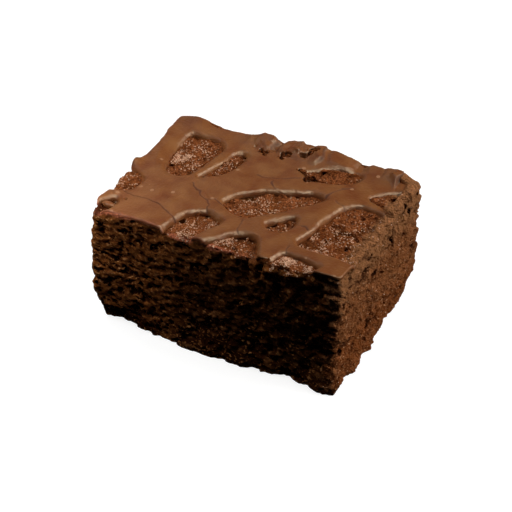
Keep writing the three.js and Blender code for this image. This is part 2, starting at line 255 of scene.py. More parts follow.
def cake_top(x, y, bare, shallow, sides):
    """Height of the cake's top, from the distances to the nearest windows and to the cut sides."""
    near_edge = ease(sides, *EDGE_STRIP)
    covered = np.maximum(ease(bare, *BAND_SLOPE), ease(bare, *EDGE_SLOPE) * near_edge)
    rim = ease(x, *RIM_PLACE[0]) * ease(y, *RIM_PLACE[1])
    edge_rise = EDGE_RISE + PROUD_RIM * rim
    rise = BAND_RISE + (edge_rise - BAND_RISE) * ease(sides + RIM_WIDTH * rim, *EDGE_STRIP)
    rise = np.maximum(rise, SHALLOW_FLOOR * ease(-shallow, *SHALLOW_SLOPE))
    bare_rise = BARE_RISE + heaped(BARE_HEAPS, x, y) + BARE_RIM * rim * ease(sides + RIM_WIDTH, -1.2, 0)
    return lifted_top(x, y) + covered * rise + (1 - covered) * bare_rise


def block_sides(x, y, z):
    """The field of the block's four cut sides."""
    upper = ease(z, *FOOT_RISE)
    lip = ease(-x, *LIP_REACH)
    front_upper = upper * (1 - lip) + ease(z, *LIP_RISE) * lip
    far = (y + HALF_WIDTH) / (2 * HALF_WIDTH)
    left_swell = (along(LEFT_CORNER, z) - LEFT_CORNER[-1][1]) * (1 - LEFT_CORNER_FADE * far)
    left = -x - along(LEFT_TOP, y) - left_swell
    right = x - along(NEAR_CORNER, z) * (1 - far) - along(FAR_CORNER, z) * far
    right = right - along(RIGHT_FOOT, y) * (1 - upper)
    front = -y - along(FRONT_FOOT, x) * (1 - front_upper) - along(FRONT_TOP, x) * front_upper
    back = y - along(BACK_TOP, x) + 0 * z
    return meet(np.maximum(left, right), np.maximum(front, back), CORNER_ROUNDING)


class Cells:
    """A box of cells for a field, in millimetres."""

    def __init__(self, low, high, side):
        self.side = side
        self.low = np.array(low, np.float32)
        self.axes = [np.arange(start, end + side, side, dtype=np.float32) for start, end in zip(low, high)]
        self.x, self.y, self.z = np.meshgrid(*self.axes, indexing="ij", sparse=True)

    def noise(self, *spacing):
        """Smooth random values that mostly lie between -2 and 2, with bumps as far apart as the spacing."""
        blends = []
        for places, step in zip(self.axes, spacing):
            at = (places - places[0]) / step
            first = np.floor(at).astype(int)
            t = at - first
            row = np.arange(len(places))
            blend = np.zeros((len(places), first[-1] + 4), np.float32)
            blend[row, first] = (1 - t) ** 3 / 6
            blend[row, first + 1] = (3 * t**3 - 6 * t**2 + 4) / 6
            blend[row, first + 2] = (-3 * t**3 + 3 * t**2 + 3 * t + 1) / 6
            blend[row, first + 3] = t**3 / 6
            blends.append(blend)
        across, deep, tall = blends
        knots = 3 * chance.standard_normal([blend.shape[1] for blend in blends]).astype(np.float32)
        spread = (across @ knots.reshape(len(knots), -1)).reshape(-1, *knots.shape[1:])
        return (deep @ spread) @ tall.T

    def plan_noise(self, *spacing):
        """Smooth random values that change in plan only."""
        return self.noise(*spacing, 40)[:, :, :1]

    def blob(self, field, centre, radii, lean=0, add=False):
        """Cut an ellipsoid out of a field, or add one. It can lean down along x by a slope."""
        near = []
        offsets = []
        for places, middle, radius, drop in zip(self.axes, centre, radii, (0, 0, lean * radii[0])):
            spread = radius + drop + self.side
            first, last = np.searchsorted(places, (middle - spread, middle + spread))
            near.append(slice(first, last))
            offsets.append((places[first:last] - middle) / radius)
        u, v, w = np.meshgrid(*offsets, indexing="ij", sparse=True)
        w = w + lean * u * radii[0] / radii[2]
        shape = (np.sqrt(u * u + v * v + w * w) - 1) * min(radii)
        part = field[tuple(near)]
        if add:
            np.minimum(part, shape, out=part)
        else:
            np.maximum(part, -shape, out=part)

    def sample(self, values, points):
        """Values at some points, blended from the cells round each."""
        at = np.clip((points - self.low) / self.side, 0, np.array(values.shape) - 1.001)
        first = at.astype(int)
        t = at - first
        blended = 0
        for corner in np.ndindex(2, 2, 2):
            weight = np.prod(np.where(corner, t, 1 - t), axis=1)
            blended = blended + weight * values[tuple((first + corner).T)]
        return blended

    def skin(self, field):
        """Points and triangles where a field is zero, without loose scraps and sealed hollows."""
        grid = openvdb.FloatGrid(background=2.0)
        grid.copyFromArray(np.clip(field, -2, 2).astype(np.float32))
        points, triangles, quads = grid.convertToPolygons(isovalue=0.0, adaptivity=0.0)
        faces = np.vstack([quads[:, [0, 1, 2]], quads[:, [0, 2, 3]], triangles.reshape(-1, 3)]).astype(int)
        shell = np.arange(len(points))
        changed = True
        while changed:
            joined = shell.copy()
            lowest = shell[faces].min(axis=1)
            for corner in range(3):
                np.minimum.at(joined, faces[:, corner], lowest)
            joined = joined[joined]
            changed = (joined != shell).any()
            shell = joined
        shells, sizes = np.unique(shell, return_counts=True)
        kept = shell == shells[sizes.argmax()]
        number = np.cumsum(kept) - 1
        return points[kept] * self.side + self.low, number[faces[kept[faces[:, 0]]]]


def box_cells(lowest):
    """Cells over the whole object's box and a little more, from a height up."""
    middle = [(a + b) / 2 / MM for a, b in zip(cad_low, cad_high)]
    half = [(b - a) / 2 / MM + MARGIN for a, b in zip(cad_low, cad_high)]
    low = (middle[0] - half[0], middle[1] - half[1], lowest)
    high = (middle[0] + half[0], middle[1] + half[1], cad_high[2] / MM + MARGIN)
    return Cells(low, high, CELL)


def make_piece(name, points, faces, material, node=None, **tones):
    """A smooth-shaded piece from points along the block's axes, kept inside the object's box."""
    inside = np.clip((points + AXES_FROM_MIDDLE) * MM, cad_low, cad_high)
    mesh = bpy.data.meshes.new(name)
    mesh.vertices.add(len(inside))
    mesh.vertices.foreach_set("co", inside.astype(np.float32).ravel())
    mesh.loops.add(faces.size)
    mesh.loops.foreach_set("vertex_index", faces.ravel().astype(np.int32))
    mesh.polygons.add(len(faces))
    mesh.polygons.foreach_set("loop_start", np.arange(0, faces.size, 3, dtype=np.int32))
    mesh.update(calc_edges=True)
    mesh.shade_smooth()
    for tone, values in tones.items():
        layer = mesh.attributes.new(tone, "FLOAT", "POINT")
        layer.data.foreach_set("value", np.asarray(values, np.float32))
    mesh.materials.append(material)
    piece = bpy.data.objects.new(name, mesh)
    bpy.context.scene.collection.objects.link(piece)
    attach(piece, "root")
    if node:
        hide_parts(node)
    return piece


def node_group(name, inputs, outputs):
    """An empty shader node group with named number inputs and outputs."""
    group = bpy.data.node_groups.new(name, "ShaderNodeTree")
    for label, value in inputs.items():
        socket = group.interface.new_socket(label, in_out="INPUT", socket_type="NodeSocketFloat")
        socket.default_value = value
    for label in outputs:
        group.interface.new_socket(label, in_out="OUTPUT", socket_type="NodeSocketFloat")
    return group, group.nodes.new("NodeGroupInput"), group.nodes.new("NodeGroupOutput")


MARKS_CLOSER = (0.85, 0.85, 1.35)  # the marks crowd along each axis by this much, so they lie flat


def mottling_group():
    """Patches, grain and round crumbs over a surface, each from 0 to 1. The sizes are in millimetres."""
    sizes = {"Patch Size": 5.0, "Grain Size": 0.8, "Crumb Size": 0.5}
    group, given, made = node_group("mottling", sizes, ("Patches", "Grain", "Crumbs"))
    place = group.nodes.new("ShaderNodeTexCoord")
    flatten = group.nodes.new("ShaderNodeVectorMath")
    flatten.operation = "MULTIPLY"
    flatten.inputs[1].default_value = MARKS_CLOSER
    group.links.new(place.outputs["Object"], flatten.inputs[0])
    for size, output in (("Patch Size", "Patches"), ("Grain Size", "Grain"), ("Crumb Size", "Crumbs")):
        scale = group.nodes.new("ShaderNodeMath")
        scale.operation = "DIVIDE"
        scale.inputs[0].default_value = 1 / MM
        group.links.new(given.outputs[size], scale.inputs[1])
        spread = group.nodes.new("ShaderNodeMapRange")
        if output == "Crumbs":
            pattern = group.nodes.new("ShaderNodeTexVoronoi")
            spread.inputs["From Min"].default_value = 0.8
            spread.inputs["From Max"].default_value = 0.1
            group.links.new(pattern.outputs["Distance"], spread.inputs["Value"])
        else:
            pattern = group.nodes.new("ShaderNodeTexNoise")
            pattern.inputs["Detail"].default_value = 4
            spread.inputs["From Min"].default_value = 0.3
            spread.inputs["From Max"].default_value = 0.7
            group.links.new(pattern.outputs["Fac"], spread.inputs["Value"])
        group.links.new(flatten.outputs["Vector"], pattern.inputs["Vector"])
        group.links.new(scale.outputs[0], pattern.inputs["Scale"])
        group.links.new(spread.outputs["Result"], made.inputs[output])
    return group


mottling = mottling_group()


def new_material(name, patch=5, grain=0.8, crumb=0.5):
    """A material with its shader and a mottling group placed. The sizes are in millimetres."""
    material = bpy.data.materials.new(name)
    material.use_nodes = True
    nodes = material.node_tree.nodes
    shader = nodes["Principled BSDF"]
    marks = nodes.new("ShaderNodeGroup")
    marks.node_tree = mottling
    for size, value in (("Patch Size", patch), ("Grain Size", grain), ("Crumb Size", crumb)):
        marks.inputs[size].default_value = value
    return material, material.node_tree, shader, marks


def blend_colours(tree, amount, low, high):
    """A colour between two others, by an amount. A colour is a triple or a socket."""
    mix = tree.nodes.new("ShaderNodeMix")
    mix.data_type = "RGBA"
    tree.links.new(amount, mix.inputs["Factor"])
    for socket, colour in ((mix.inputs["A"], low), (mix.inputs["B"], high)):
        if isinstance(colour, bpy.types.NodeSocket):
            tree.links.new(colour, socket)
        else:
            socket.default_value = (*colour, 1)
    return mix.outputs["Result"]


def tone_value(tree, name):
    """The values of a tone that a mesh carries."""
    node = tree.nodes.new("ShaderNodeAttribute")
    node.attribute_name = name
    return node.outputs["Fac"]


def span(tree, value, start, end, low=0, high=1):
    """A value moved from one range to another, and held within it."""
    move = tree.nodes.new("ShaderNodeMapRange")
    for name, number in (("From Min", start), ("From Max", end), ("To Min", low), ("To Max", high)):
        move.inputs[name].default_value = number
    tree.links.new(value, move.inputs["Value"])
    return move.outputs["Result"]


def relief(tree, height, depth, shader, under=None):
    """Fine relief from a height between 0 and 1, with a depth in millimetres, over another relief."""
    bump = tree.nodes.new("ShaderNodeBump")
    bump.inputs["Distance"].default_value = depth * MM
    tree.links.new(height, bump.inputs["Height"])
    if under:
        tree.links.new(under, bump.inputs["Normal"])
    tree.links.new(bump.outputs["Normal"], shader.inputs["Normal"])
    return bump.outputs["Normal"]


CRUMB_DARK = (0.16, 0.045, 0.011)
CRUMB_BROWN = (0.31, 0.1, 0.036)
# Painted shade in the gaps between the round crumbs.
CRUMB_GAP_SHADE = (0.11, 0.028, 0.008)
CRUMB_LIGHT = (0.5, 0.25, 0.14)
CRUMB_FLECK = (0.5, 0.21, 0.07)
CRUMB_CUT = (0.28, 0.095, 0.022)  # the cut sides, from light to dark
CRUMB_CUT_DARK = (0.11, 0.032, 0.007)
CRUMB_RIM_HIGHLIGHT = (0.42, 0.125, 0.065)  # painted highlight: the front's upper edge coloured red and light, as if lit from above
CRUMB_RUBBED_AND_HIGHLIGHT = (0.3, 0.135, 0.056)  # pale crumbs that the knife smeared over the right side, and painted highlight on the raised flecks of the front
# The colour of painted shade at its darkest.
PAINTED_SHADE_COLOUR = (0.015, 0.003, 0.001)
FLECK_SHADE = (0.1, 0.1, 0.1)  # on a light fleck the painted shade is held to this much
LEVEL = (0.5, 0.5, 0.5)  # the height of the relief where there are no crumbs


def baked_crumb():
    """Matt brown sponge, coarser and more mottled where it was not cut, with painted shade in its pores,
    hollows and gaps and over the front, and painted highlight on the front's flecks and upper edge.
    """
    material, tree, shader, marks = new_material("baked_crumb", patch=3, grain=0.7, crumb=0.5)
    coarse = tone_value(tree, "coarse")
    base = blend_colours(tree, marks.outputs["Patches"], CRUMB_DARK, CRUMB_BROWN)
    # The gaps between the round crumbs get painted shade.
    crumbs = blend_colours(tree, span(tree, marks.outputs["Crumbs"], 0.1, 0.55), CRUMB_GAP_SHADE, base)
    speckled = blend_colours(tree, span(tree, marks.outputs["Grain"], 0.8, 1), crumbs, CRUMB_LIGHT)
    evened = blend_colours(tree, span(tree, marks.outputs["Grain"], 0.25, 0.8), CRUMB_CUT_DARK, CRUMB_CUT)
    flecks = span(tree, marks.outputs["Grain"], 0.68, 0.8)
    flecked = blend_colours(tree, flecks, evened, CRUMB_FLECK)
    mottled = blend_colours(tree, coarse, flecked, speckled)
    # The knife's smear, and painted highlight on the raised flecks of the front.
    rubbed_and_painted_highlight = blend_colours(tree, tone_value(tree, "rubbed_and_painted_highlight"), mottled, CRUMB_RUBBED_AND_HIGHLIGHT)
    # Painted highlight along the front's upper edge.
    rimmed = blend_colours(tree, tone_value(tree, "rim"), rubbed_and_painted_highlight, CRUMB_RIM_HIGHLIGHT)
    # Painted shade, held off the light flecks.
    painted_shade_amount = blend_colours(tree, flecks, tone_value(tree, "painted_shade"), FLECK_SHADE)
    with_painted_shade = blend_colours(tree, painted_shade_amount, rimmed, PAINTED_SHADE_COLOUR)
    tree.links.new(with_painted_shade, shader.inputs["Base Color"])
    shader.inputs["Roughness"].default_value = 0.85
    shader.inputs["Specular IOR Level"].default_value = 0
    uneven = relief(tree, marks.outputs["Grain"], 0.2, shader)
    chipped = relief(tree, flecks, 0.15, shader, under=uneven)
    crumby = blend_colours(tree, coarse, LEVEL, marks.outputs["Crumbs"])
    relief(tree, crumby, 0.3, shader, under=chipped)
    return material


# Holes torn through the icing into the cake: (x, y, half width). Each is a cluster of small bites.
TORN_HOLES = (
    (10, 12.8, 1.6), (6.9, 14.8, 0.9), (-6.9, 18.9, 0.8), (-1.5, 19, 0.8), (0, 19.5, 0.4), (4.9, 22, 1.3),
    (6.3, 23.5, 0.6), (12.3, 16.6, 0.6), (-28.5, -17.9, 0.4),
)
BITES = 6
BITE_SIZES = (0.4, 0.75)  # least and greatest, for a hole of half width 1
HOLE_CRUMBS = 2  # crumbs beside each bite
HOLE_CRUMB = (0.35, 0.35, 1.2)  # half sizes of one, tall enough to stand on the hole's floor
SLOTS = 380  # long thin pores in the front side
SLOTS_START = -35  # they are thickest here, and thin out over this reach to the right
SLOTS_REACH = 36
SLOT_HEIGHTS = (2, 33)
SLOT = (1.7, 1.6, 0.45)  # half length, depth and half height of the largest
SLOT_SIZES = (0.3, 1)  # as shares of the largest
SLOT_LEAN = 0.25  # the slots run down to the right by this slope

# Heights and depths of the relief, from the widest to the finest.
WIDE_SWELL = 0.2
NARROW_SWELL = 0.12
CLUMP_DEPTH = 0.4
PORE_DEPTH = 0.7
SMALL_PORE_DEPTH = 0.5
FLECK_HEIGHT = 0.12
GRAIN_HEIGHT = 0.17
FINE_GRAIN_HEIGHT = 0.13
FLAKE_CRACK_DEPTH = 0.9
FLAKE_CRACK_WIDTH = 0.35
FLAKE_RIDGE_HEIGHT = 0.45
FLAKE_RIDGE_WIDTH = 0.8

# The ends of each change along the sides.
FRONT = (20, 22)  # the front side begins here, before the middle
SHADOWED_FRONT = (-16, -6)  # painted shadow over its middle and right sets in here, from left to right
RED_EDGE = (12, 4)  # and its red upper edge, on the crumb a painted highlight, sets in here, from right to left
# Strength of the painted highlight along the front's upper edge.
RIM_HIGHLIGHT_STRENGTH = 0.75

torn_bites = []
for centre_x, centre_y, half_width in TORN_HOLES:
    for _ in range(BITES):
        away = chance.normal(0, 0.5 * half_width, 2)
        size = half_width * chance.uniform(*BITE_SIZES)
        torn_bites.append((centre_x + 1.3 * away[0], centre_y + away[1], size))

# The plain block, and how much each place belongs to the top, to the covered top and to the front.
cells = box_cells(lowest=-MARGIN)
x, y, z = cells.x, cells.y, cells.z
bare = loops_distance(WINDOWS, x, y)
sides = block_sides(x, y, z)
shallow = loops_distance(SHALLOW_WINDOWS, x, y)
crumb_top = cake_top(x, y, bare, shallow, sides)
crumb = meet(sides, z - crumb_top, TOP_ROUNDING)
on_top = ease(z - crumb_top, -1.6, -0.4)
covered = ease(np.minimum(bare, shallow), 0, 1.2) * on_top
front = ease(-y, *FRONT)
cut_front = (1 - on_top) * ease(-y, 20, 23) * ease(-x, -12, 14)
smeared = ease(x + 0.5 * cells.noise(1.2, 1.2, 1.2), 31, 33) * ease(z, 8, 16)
rough = 1 - 0.8 * covered

# Swells and clumps, and the pores between them.
crumb -= GROWTH * (1 - on_top)
crumb += WIDE_SWELL * cells.noise(7, 7, 6) + NARROW_SWELL * cells.noise(3.4, 3.4, 2.4)
clumps = np.abs(cells.noise(2.4, 2.4, 1.6))
clumped = rough * (0.55 + 0.3 * ease(z, 20, 32)) * (1 - 0.4 * on_top) * (1 - 0.75 * cut_front)
crumb += clumped * (0.3 - CLUMP_DEPTH * clumps)
pores = rough * np.maximum(cells.noise(3, 3, 0.9) - 1.0, 0)
crumb += PORE_DEPTH * pores
small_pores = rough * np.maximum(cells.noise(1, 1, 0.7) - 1.0, 0)
crumb += SMALL_PORE_DEPTH * small_pores
# Painted shade in the pores and between the clumps, weaker on the top.
shade_between_clumps = 0.35 * clumped * ease(0.5 - clumps, 0, 0.5)
shade = (1 - 0.6 * on_top) * (0.6 * pores + 0.5 * small_pores + shade_between_clumps)

# Painted shade in the gap under the torn lip and on the floor of the corner pit, and the flake lifting off
# the bare top, with painted shade in its crack.
shade += 0.9 * ease(-x, 14, 18) * (1 - ease(z + 0.2 * clumps, 3.4, 4.6)) * front
pit_distance = line_distance(smooth_loop(CORNER_PIT), x, y, closed=True)
shade += 0.75 * ease(-pit_distance, -0.3, 0.5) * on_top
flake_gap = np.exp(-((line_distance(FLAKE_CRACK, x, y) / FLAKE_CRACK_WIDTH) ** 2)) * on_top
flake_ridge = np.exp(-((line_distance(FLAKE_RIDGE, x, y) / FLAKE_RIDGE_WIDTH) ** 2))
crumb += FLAKE_CRACK_DEPTH * flake_gap - FLAKE_RIDGE_HEIGHT * flake_ridge * on_top
shade += 0.9 * flake_gap

# Hollows and slots in the sides, and the bites of the torn holes with crumbs left beside them.
uncut = crumb.copy()
for place, height, half_length, half_height, depth in FRONT_HOLLOWS:
    cells.blob(crumb, (place, -along(FRONT_TOP, place), height), (half_length, depth, half_height))
for place, height, half_length, half_height, depth in RIGHT_HOLLOWS:
    cells.blob(crumb, (along(NEAR_CORNER, height), place, height), (depth, half_length, half_height))
for _ in range(SLOTS):
    place = SLOTS_REACH * chance.beta(1, 1.6) + SLOTS_START
    size = chance.uniform(*SLOT_SIZES) ** 1.3
    centre = (place, -along(FRONT_TOP, place), chance.uniform(*SLOT_HEIGHTS))
    cells.blob(crumb, centre, [size * part for part in SLOT], lean=SLOT_LEAN)
for bite_x, bite_y, size in torn_bites:
    height = lifted_top(bite_x, bite_y) + BAND_RISE + 0.5
    cells.blob(crumb, (bite_x, bite_y, height), (1.2 * size, size, 2.2 * size))
    for _ in range(HOLE_CRUMBS):
        turn = chance.uniform(0, 2 * math.pi)
        place = (bite_x + 1.5 * size * math.cos(turn), bite_y + 1.2 * size * math.sin(turn), height)
        cells.blob(crumb, place, HOLE_CRUMB, add=True)
# Painted shade in what the hollows, slots and bites took out.
shade += 1.2 * ease(crumb - uncut, 0.1, 0.5)

# Flecks that stand out of the front, painted shadow over the front's middle and right that spares the
# flecks, the finest grain, and the flat cut base.
flecks = ease(cells.noise(1.2, 1.2, 0.6), 0.7, 1.2) * (1 - on_top)
crumb -= FLECK_HEIGHT * flecks
# Painted shadow over the middle and right of the front, weaker on the raised flecks.
shadow = 0.4 * (1 - ease(z, 20, 28)) + 0.35 * (1 - ease(z, 4, 14)) * (1 - 0.8 * ease(x, 8, 20))
shade += shadow * ease(x, *SHADOWED_FRONT) * front * (1.3 - flecks)
grain = GRAIN_HEIGHT * cells.noise(1.1, 1.1, 0.8) + FINE_GRAIN_HEIGHT * cells.noise(0.6, 0.6, 0.5)
crumb += (rough - 0.4 * cut_front) * grain
crumb = np.maximum(crumb, -z)

coarse = 0.15 + 0.85 * on_top + 0.6 * ease(x, 30, 33)
# The knife's smear on the right side, and painted highlight on the raised flecks of the shaded front.
rubbed_and_painted_highlight = smeared * (0.2 + 0.45 * ease(z, 23, 31)) + 0.3 * flecks * front * ease(x, *SHADOWED_FRONT)
# Painted highlight along the upper edge of the front.
rim = ease(sides, -1.1, -0.5) * ease(z - crumb_top, -1, -0.4) * front * ease(x, *RED_EDGE)
points, faces = cells.skin(crumb)
# Tones on the crumb's mesh: painted shade held below 0.9, coarseness, the smear with painted highlight on
# the front's flecks, and painted highlight along the front's upper edge.
tones = {
    "painted_shade": np.clip(cells.sample(shade, points), 0, 0.9),
    "coarse": np.clip(cells.sample(coarse, points), 0, 1),
    "rubbed_and_painted_highlight": cells.sample(rubbed_and_painted_highlight, points),
    "rim": RIM_HIGHLIGHT_STRENGTH * cells.sample(rim, points),
}
crumb_piece = make_piece("cake_crumb", points, faces, baked_crumb(), "crumb", **tones)

# ----------------------------------------------------------------------------------------------------------
# Sugar and crumbs: hard little grains that baked onto the bare top, thickest in the wide window at the back.
# A few more stick to the cut sides. Each is an uneven lump of twenty facets, and all are one piece.
# ----------------------------------------------------------------------------------------------------------
GRAIN_SIZES = (0.1, 0.25)  # least and greatest half width
GRAIN_STRETCH = (0.65, 1.25)
GRAIN_UNEVENNESS = (0.8, 1.15)
# How crowded the grains are: (x, y, reach, share of the places that hold one).
SUGAR_DRIFTS = (
    (-25.5, 9, 4, 0.4), (-14, 7, 5, 0.14), (-9, -18, 5, 0.38), (5, -19, 6, 0.2), (2, -2, 5, 0.08),
    (22, -21, 7, 0.36), (23, -7, 6, 0.11), (-35, -10, 5, 0.14),
)
TOP_SHARE = 0.02  # the share elsewhere on the bare top
SIDE_SHARE = 0.0008  # and on the right side
RIGHT_SIDE = 32  # the right side is past this place
SUGAR_PALE = (0.7, 0.43, 0.29)
SUGAR_BROWN = (0.36, 0.16, 0.07)


def toasted_sugar():
    """Glassy grains, from pale to brown."""
    material, tree, shader, marks = new_material("toasted_sugar", patch=0.8)
    base = blend_colours(tree, marks.outputs["Patches"], SUGAR_BROWN, SUGAR_PALE)
    tree.links.new(base, shader.inputs["Base Color"])
    shader.inputs["Roughness"].default_value = 0.42
    return material


def facet_lump():
    """Corners and faces of a lump with twenty facets, of unit size."""
    golden = (1 + 5**0.5) / 2
    ring = [(0, a, b * golden) for a in (-1, 1) for b in (-1, 1)]
    corners = np.array([np.roll(corner, turn) for turn in range(3) for corner in ring], float)
    corners /= np.linalg.norm(corners[0])
    gap = np.linalg.norm(corners[:, None] - corners[None], axis=2)
    close = (gap > 0) & (gap < 1.2)
    faces = []
    for a, b, c in itertools.combinations(range(len(corners)), 3):
        if close[a, b] and close[b, c] and close[a, c]:
            outward = np.dot(np.cross(corners[b] - corners[a], corners[c] - corners[a]), corners[a]) > 0
            faces.append((a, b, c) if outward else (a, c, b))
    return corners, np.array(faces)


def scatter(places, sizes):
    """Uneven lumps at some places, as points and faces of one mesh."""
    corners, faces = facet_lump()
    count = len(places)
    stretch = chance.uniform(*GRAIN_STRETCH, (count, 1, 3))
    uneven = chance.uniform(*GRAIN_UNEVENNESS, (count, len(corners), 1))
    points = places[:, None] + corners * uneven * stretch * sizes[:, None, None]
    faces = faces + len(corners) * np.arange(count)[:, None, None]
    return points.reshape(-1, 3), faces.reshape(-1, 3)


def upward(points, faces):
    """Upward part of each point's normal."""
    a, b, c = (points[faces[:, corner]] for corner in range(3))
    facing = np.cross(b - a, c - a)
    normal = np.zeros_like(points)
    for corner in range(3):
        np.add.at(normal, faces[:, corner], facing)
    return normal[:, 2] / (np.linalg.norm(normal, axis=1) + 1e-9)


flat_x, flat_y, height = points.T
in_window = loops_distance(WINDOWS, flat_x, flat_y) < -0.3
on_bare_top = in_window & (upward(points, faces) > 0.5) & (height > BARE_TOP - 2)
on_right_side = (height > 1) & (flat_x > RIGHT_SIDE)
share = np.where(on_bare_top, TOP_SHARE, np.where(on_right_side, SIDE_SHARE, 0))
for drift_x, drift_y, reach, crowding in SUGAR_DRIFTS:
    away = np.hypot(flat_x - drift_x, flat_y - drift_y) / reach
    share = share + np.where(on_bare_top, crowding * np.exp(-away**2), 0)
clusters = cells.sample(cells.noise(1.6, 1.6, 1.6), points)
share = share * (0.15 + 1.7 * ease(clusters, -0.6, 1.4)) * COARSER**2
chosen = points[chance.random(len(points)) < share]
grain_sizes = chance.uniform(*GRAIN_SIZES, len(chosen))
grain_points, grain_faces = scatter(chosen, grain_sizes)
sugar_piece = make_piece("sugar_grains", grain_points, grain_faces, toasted_sugar())
sugar_piece.data.shade_flat()

# ----------------------------------------------------------------------------------------------------------
# The icing: a set chocolate glaze, poured in crossing bands that ran together and left windows between them.
# It sits on the cake with round shoulders, and is cut off at the block's sides with the rest.
# ----------------------------------------------------------------------------------------------------------
ICING_ROOT = 0.7  # how far the icing reaches into the cake below it
ICING_SHOULDER = 1.5  # how rounded it is above the windows
EDGE_ROUNDING = 0.4  # and at the cut sides
# Bowls pressed or torn in the icing: (x, y, half length, half width, turn in degrees, depth).
BOWLS = (
    (-10.5, 20, 0.6, 0.4, 0, 0.6), (-29, 9, 3.4, 9, 4, 0.8),
)
# Bumps on the icing: (x, y, reach along x, reach along y, rise).
BUMPS = (
    (-35.6, -1.5, 1.5, 2, 1.2), (-17.5, -13, 1, 1, 0.2), (29.5, 22, 1, 0.8, 0.5), (-35.5, 14, 2, 9, 0.4),
    (-14.5, 3, 1, 4, 0.2), (15, 20.6, 5, 1, 0.4),
)
# Cracks across the bands, each as the places that it runs through.
CRACKS = (
    (
        (-31, -14.8), (-27.5, -15.6), (-24.7, -15.3), (-20.2, -15.9), (-18, -16.6), (-16.2, -17.9),
        (-12.2, -19.9),
    ),
    ((-17, -3), (-16, -4.2), (-13.7, -5.6), (-12.6, -7), (-9.9, -8.3), (-8.4, -9.6), (-7.6, -12.5)),
    ((-9.9, -8.3), (-8.3, -7), (-6.6, -7.6), (-4.8, -7.8)),
    ((2.5, -11.9), (2.8, -14.6), (4.3, -17.3)),
    ((17.8, -16), (17.8, -17.6), (18.6, -19.3)),
    ((-4.1, 8), (-0.3, 8.1), (3.2, 9.5), (7, 11.9)),
    ((1.3, 7.4), (2.2, 5.8), (3.5, 4.7)),
    ((17, 7.3), (17.9, 10.1), (19.3, 12.3), (21.7, 14.3)),
    ((19.9, 6.7), (21.4, 5.2), (23.7, 4.7)),
    ((16, -7.6), (17.6, -7.3), (19.3, -8)),
)
# How far the icing is heaped up and broken down along the back edge, as (place, rise) pairs.
BACK_CRAGS = (
    (-19, 0), (-16, 0), (-13.5, 0.4), (-10.8, 0.5), (-9.9, 0.9), (-7, 0.7), (-6, 0.3), (-5, -0.6),
    (-4.2, -0.9), (-3.4, -0.4), (-2.6, 0.5), (-1, 1), (1.7, 1), (2.6, 0.4), (5.2, 0.1), (6.4, 0.5),
    (7.6, 1.1), (8.2, 1), (8.8, 0.1), (9.8, -0.3), (11, 0.1), (16, 0.2), (18, -0.3), (19.4, -0.9),
    (20.8, -1.1), (22.4, -0.2), (25.9, -0.2), (26.8, 0.3), (28.5, 0.5), (30, 1), (31.4, 1.3),
    (31.9, -0.2), (33, 0), (36, 0),
)
CRAG_WANDER = 0.7  # how far the crags stray from those places
CRAG_STRIP = (17.5, 21.5)  # the icing is roughest past here along y
CRACK_WIDTH = 0.25
CRACK_DEPTH = 0.12
CRACK_WANDER = 0.18
CRACK_TONE = (0.27, 0.12)  # the colour turns dark between these distances from a crack
SOUND_TONE = 0.29  # the distance that whole icing counts as, or that of the nearest crack
BROKEN_TONE = 0.135  # the steepest faces of the crags count as nearer by this much
FAR = 9.0  # farther than any crack matters
BITE_WIDENING = (1.3, 1.1)  # the holes are wider in the icing than in the cake
BITE_HEIGHT = 2.5
LUMP_SIZE = (1.6, 0.8, 0.6)
LUMP_ROOT = (2.4, 0.7, 0.4)  # joins the lump to the pit's side, below the floor of the pit

ICING_DARK = (0.15, 0.042, 0.012)
ICING_BROWN = (0.215, 0.083, 0.026)
ICING_RIM = (0.3, 0.09, 0.04)
CRACK_BROWN = (0.07, 0.014, 0.004)
ICING_SPECK = (0.33, 0.16, 0.08)


def set_icing():
    """Smooth brown chocolate with a soft sheen, slightly mottled."""
    material, tree, shader, marks = new_material("set_icing", patch=4, grain=0.7, crumb=4.5)
    base = blend_colours(tree, marks.outputs["Patches"], ICING_DARK, ICING_BROWN)
    split = span(tree, tone_value(tree, "crack"), *CRACK_TONE)
    specked = blend_colours(tree, span(tree, marks.outputs["Crumbs"], 0.997, 1), base, ICING_SPECK)
    cracked = blend_colours(tree, split, specked, CRACK_BROWN)
    rimmed = blend_colours(tree, tone_value(tree, "rim"), cracked, ICING_RIM)
    tree.links.new(rimmed, shader.inputs["Base Color"])
    tree.links.new(span(tree, split, 0, 1, 0.33, 0.95), shader.inputs["Roughness"])
    relief(tree, marks.outputs["Grain"], 0.07, shader)
    return material


def bowls(x, y):
    """Depth of all the bowls at a place."""
    depth = 0
    for at_x, at_y, half_length, half_width, turn, drop in BOWLS:
        cosine = math.cos(math.radians(turn))
        sine = math.sin(math.radians(turn))
        lengthways = ((x - at_x) * cosine + (y - at_y) * sine) / half_length
        crossways = ((y - at_y) * cosine - (x - at_x) * sine) / half_width
        depth = np.maximum(depth, drop * (1 - ease(np.hypot(lengthways, crossways), 0.4, 1.15)))
    return depth


